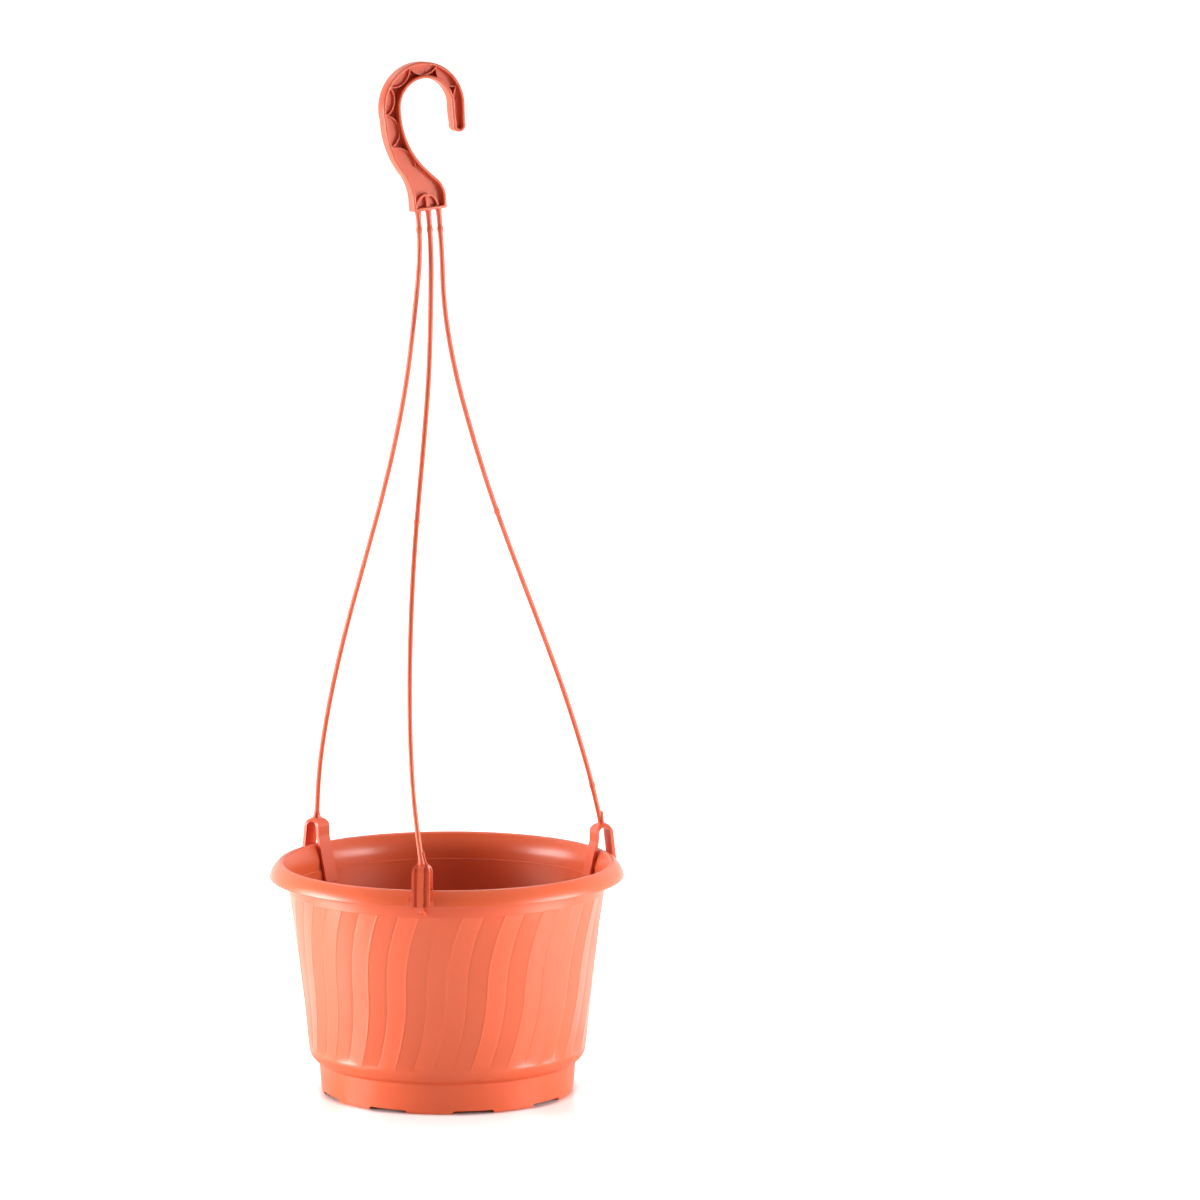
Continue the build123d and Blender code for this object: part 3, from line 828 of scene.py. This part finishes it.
# ---- strands ---------------------------------------------------------------------------
# Springy round arms, 3.6 mm thick. They leave the hook side by side, stay together, then
# swing out in an S to the clips. Small swellings are where the moulding tool was vented.
strand_tree, strand_in, strand_out = node_tree_with_inputs("moulded_strand", (
    ("Radius", 1.8 * mm), ("Swelling", 0.45 * mm), ("Swelling Length", 1.6 * mm),
    ("Upper Mark", 0.609), ("Middle Mark", 0.409), ("Lower Mark", 0.210),
    ("Root Flare", 0.8 * mm), ("Root Length", 3.0 * mm),
))
to_line = strand_tree.nodes.new("GeometryNodeMeshToCurve")
strand_tree.links.new(strand_in.outputs["Geometry"], to_line.inputs["Mesh"])
even = strand_tree.nodes.new("GeometryNodeResampleCurve")
even.mode = "LENGTH"
even.inputs["Length"].default_value = 0.9 * mm
strand_tree.links.new(to_line.outputs["Curve"], even.inputs["Curve"])
spot = strand_tree.nodes.new("GeometryNodeInputPosition")
spot_apart = strand_tree.nodes.new("ShaderNodeSeparateXYZ")
strand_tree.links.new(spot.outputs[0], spot_apart.inputs[0])
thickness = strand_in.outputs["Radius"]
for mark in ("Upper Mark", "Middle Mark", "Lower Mark"):
    away = add_maths(strand_tree, "SUBTRACT", spot_apart.outputs["Z"], strand_in.outputs[mark])
    away = add_maths(strand_tree, "DIVIDE", away, strand_in.outputs["Swelling Length"])
    near = add_maths(strand_tree, "MULTIPLY", add_maths(strand_tree, "MULTIPLY", away, away), -1.0)
    near = add_maths(strand_tree, "EXPONENT", near)
    thickness = add_maths(
        strand_tree, "MULTIPLY_ADD", near, strand_in.outputs["Swelling"], thickness)
along_strand = strand_tree.nodes.new("GeometryNodeSplineParameter").outputs["Length"]
whole_length = strand_tree.nodes.new("GeometryNodeSplineLength").outputs["Length"]
to_far_end = add_maths(strand_tree, "SUBTRACT", whole_length, along_strand)
for from_root in (along_strand, to_far_end):
    root = add_maths(strand_tree, "DIVIDE", from_root, strand_in.outputs["Root Length"])
    root = add_maths(strand_tree, "EXPONENT", add_maths(strand_tree, "MULTIPLY", root, -1.0))
    thickness = add_maths(
        strand_tree, "MULTIPLY_ADD", root, strand_in.outputs["Root Flare"], thickness)
ring = strand_tree.nodes.new("GeometryNodeCurvePrimitiveCircle")
ring.inputs["Resolution"].default_value = 20
ring.inputs["Radius"].default_value = 1.0
skin = strand_tree.nodes.new("GeometryNodeCurveToMesh")
skin.inputs["Fill Caps"].default_value = True
strand_tree.links.new(even.outputs["Curve"], skin.inputs["Curve"])
strand_tree.links.new(thickness, skin.inputs["Scale"])
strand_tree.links.new(ring.outputs["Curve"], skin.inputs["Profile Curve"])
end_tree(strand_tree, skin.outputs["Mesh"], strand_out, hanger_plastic)


def socket_id(tree, label):
    """Identifier of a named tree input, as a modifier needs it."""
    return next(
        item.identifier for item in tree.interface.items_tree
        if item.item_type == "SOCKET" and item.in_out == "INPUT" and item.name == label)


def line_mesh(name, points):
    """The smooth line of a route: a NURBS spline on its points, as a mesh of edges."""
    curve = bpy.data.curves.new(name, "CURVE")
    curve.dimensions = "3D"
    curve.resolution_u = 24
    spline = curve.splines.new("NURBS")
    spline.points.add(len(points) - 1)
    for point, (x, y, z) in zip(spline.points, points):
        point.co = (x, y, z, 1)
    spline.order_u = 3
    spline.use_endpoint_u = True
    route = bpy.data.objects.new(name, curve)
    scene.collection.objects.link(route)
    graph = bpy.context.evaluated_depsgraph_get()
    mesh = bpy.data.meshes.new_from_object(route.evaluated_get(graph), depsgraph=graph)
    bpy.data.objects.remove(route)
    return mesh


strand_routes = {
    "left": [
        (-0.0180, -0.0064, 0.6232), (-0.0159, -0.0049, 0.5973), (-0.0206, -0.0042, 0.5520),
        (-0.0268, 0.0006, 0.5050), (-0.0359, 0.0076, 0.4620), (-0.0477, 0.0168, 0.4180),
        (-0.0619, 0.0278, 0.3720), (-0.0763, 0.0389, 0.3260), (-0.0886, 0.0484, 0.2800),
        (-0.0970, 0.0549, 0.2400), (-0.1015, 0.0584, 0.2070), (-0.1025, 0.0592, 0.1812),
    ],
    "front": [
        (-0.0115, -0.0018, 0.6240), (-0.0094, -0.0003, 0.5981), (-0.0093, -0.0052, 0.5550),
        (-0.0094, -0.0128, 0.5100), (-0.0112, -0.0256, 0.4650), (-0.0133, -0.0420, 0.4200),
        (-0.0141, -0.0618, 0.3750), (-0.0132, -0.0822, 0.3280), (-0.0112, -0.0991, 0.2820),
        (-0.0081, -0.1108, 0.2420), (-0.0042, -0.1166, 0.2090), (0.0000, -0.1184, 0.1812),
    ],
    "right": [
        (-0.0050, 0.0028, 0.6248), (-0.0029, 0.0043, 0.5989), (-0.0017, 0.0046, 0.5550),
        (0.0053, 0.0082, 0.5100), (0.0162, 0.0139, 0.4660), (0.0293, 0.0208, 0.4200),
        (0.0454, 0.0292, 0.3720), (0.0619, 0.0379, 0.3250), (0.0771, 0.0458, 0.2800),
        (0.0888, 0.0520, 0.2400), (0.0970, 0.0563, 0.2080), (0.1025, 0.0592, 0.1812),
    ],
}
# heights of the swellings; a height below the pot leaves that one out
strand_marks = {
    "left": (0.609, -1.0, -1.0), "front": (0.609, 0.409, -1.0), "right": (0.609, 0.409, 0.210),
}
for side, route in strand_routes.items():
    strand_blank = linked_object("strand_blank", line_mesh("strand_line", route))
    bending = strand_blank.modifiers.new("moulded_strand", "NODES")
    bending.node_group = strand_tree
    for label, height in zip(("Upper Mark", "Middle Mark", "Lower Mark"), strand_marks[side]):
        bending[socket_id(strand_tree, label)] = height
    strand = finished(strand_blank, f"strand_{side}_arm", hanger_plastic, 50)
    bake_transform(strand)
    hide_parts(f"strand_{side}")

# ---- clips -----------------------------------------------------------------------------
# Moulded with the strands: a plain inner leg, a half-round arch over the rim, and an outer
# leg with two pockets, whose middle rib ends in a toe that snaps in under the rolled rim.
clip_radius = 118.4
clip_width = 12.6
arch_height = 175.4
arch_outer = 6.6
arch_inner = 4.2
pivot_radius = clip_radius + (arch_outer + arch_inner) / 2
leg_lean = radians(7)
leg_length = 23.0
leg_half = 1.2


def on_leg(down, out):
    """A point of the outer leg, measured down it from its root and outward from its middle."""
    return (
        pivot_radius + down * sin(leg_lean) + out * cos(leg_lean),
        arch_height - down * cos(leg_lean) + out * sin(leg_lean),
    )


def on_arch(angle, radius):
    """A point of the arch; 0 is its outer foot and 90 its top."""
    return (
        clip_radius + radius * cos(radians(angle)),
        arch_height + radius * sin(radians(angle)),
    )


arch_angles = range(0, 181, 6)
leg_face = clip_radius - arch_outer
inner_shift = 7.39
strap_outline = [on_arch(angle, arch_outer) for angle in arch_angles]
strap_outline += [(leg_face, 169.0)]
strap_outline += [
    (leg_face - inner_shift + 1.0 + cos(radians(a)), 137.0 + sin(radians(a)))
    for a in range(180, 361, 20)
]
strap_outline += [(leg_face + 2.0, 169.0)]
strap_outline += [on_arch(angle, arch_inner) for angle in reversed(arch_angles)]
strap_outline += [on_leg(0.6, -leg_half), on_leg(leg_length, -leg_half)]
strap_outline += [
    on_leg(leg_length + 0.5 * sin(radians(a)), -leg_half * cos(radians(a)))
    for a in range(20, 161, 20)
]
strap_outline += [on_leg(leg_length, leg_half), on_leg(0.6, leg_half)]

pocket_depth = 1.1
pocket_outline = [on_arch(angle, arch_outer + 3) for angle in range(0, 79, 6)]
pocket_outline += [on_arch(76, arch_outer - pocket_depth)]
pocket_outline += [on_arch(angle, arch_outer - pocket_depth) for angle in range(72, -1, -6)]
pocket_outline += [on_leg(down, leg_half - pocket_depth) for down in (0.6, leg_length - 1.3)]
pocket_outline += [on_leg(leg_length - 1.0, leg_half + 3), on_leg(0.6, leg_half + 3)]
rib_half = 2.1
rail = 1.9
pocket_out = clip_width / 2 - rail

# the rib rises out of the strand's root, runs down the leg and curls in under the rim
rib_stands = 0.85
rib_outline = [on_arch(84, arch_outer - 1.0), on_arch(84, arch_outer + 0.25)]
rib_outline += [
    on_arch(angle, arch_outer + rib_stands - 0.6 * (angle / 84) ** 2) for angle in range(78, -1, -6)
]
rib_outline += [on_leg(0.6, leg_half + rib_stands), on_leg(leg_length - 1.4, leg_half + rib_stands)]
rib_outline += arc(rib_outline[-1], (127.0, 149.2), (124.4, 147.5), 7)
rib_outline += [(120.2, 146.6), (116.2, 145.7), (113.8, 145.4)]
rib_outline += arc((113.8, 145.4), (113.0, 146.4), (113.8, 147.4), 5)
rib_outline += [(116.0, 147.9), (119.8, 148.9), (122.2, 149.8)]
rib_outline += arc((122.2, 149.8), (123.9, 150.8), on_leg(leg_length - 1.4, -leg_half + 0.1), 5)
rib_outline += [on_leg(0.6, -leg_half + 0.1), on_arch(0, arch_outer - 2.0)]
rib_outline += [on_arch(angle, arch_outer - 1.0) for angle in range(6, 84, 6)]

# thin gussets from the strand's root out to both rails
gusset_outline = [(-4.4, 180.2), (4.4, 180.2), (4.2, 181.4), (3.0, 183.6), (2.2, 186.6), (1.5, 190.5)]
gusset_outline += [(-1.5, 190.5), (-2.2, 186.6), (-3.0, 183.6), (-4.2, 181.4)]

# seen from outside, the arch has rounded shoulders
shoulder_outline = [(-7, 130), (7, 130), (7, 170), (clip_width / 2, 170), (clip_width / 2, 176.6)]
shoulder_outline += arc((clip_width / 2, 176.6), (5.0, 180.2), (1.6, 182.4), 8)
shoulder_outline += [(-x, z) for x, z in reversed(shoulder_outline[4:])]
shoulder_outline += [(-clip_width / 2, 170), (-7, 170)]


def in_clip(r, z, across):
    return (r * mm, across * mm, z * mm)


def across_clip(across, z, r):
    return (r * mm, across * mm, z * mm)


clip_blank = bars("clip_blank", [(strap_outline, -clip_width / 2, clip_width / 2)], in_clip)
pocket_cutter = bars("pocket_cutter", [
    (pocket_outline, rib_half - 0.3, pocket_out), (pocket_outline, -pocket_out, -rib_half + 0.3),
], in_clip)
rib_bar = bars("rib_bar", [(rib_outline, -rib_half, rib_half)], in_clip)
gusset_bar = bars(
    "gusset_bar", [(gusset_outline, clip_radius - 0.7, clip_radius + 0.7)], across_clip)
shoulder_bar = bars("shoulder_bar", [(shoulder_outline, 90, 145)], across_clip)
join(clip_blank, [(shoulder_bar, "INTERSECT"), (pocket_cutter, "DIFFERENCE")])
join(clip_blank, [(rib_bar, "UNION"), (gusset_bar, "UNION")])
soften(clip_blank, 0.3)
clip_master = finished(clip_blank, "clip_master", hanger_plastic, 40, flat_faces=True)
for tool in (shoulder_bar, pocket_cutter, rib_bar, gusset_bar):
    bpy.data.objects.remove(tool)

flex_start = (119.2 * mm, 178.0 * mm)
flex_end = (122.87 * mm, 176.9 * mm)
for side, turn in clip_turns.items():
    clip_mesh = clip_master.data.copy()
    clip_mesh.transform(Matrix.Rotation(turn, 4, "Z"))
    clip = linked_object(f"clip_{side}_strap", clip_mesh)
    start, end = (
        (r * cos(turn), r * sin(turn), z) for r, z in (flex_start, flex_end))
    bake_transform(clip)
    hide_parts(f"clip_{side}", f"latch_{side}")
bpy.data.objects.remove(clip_master)
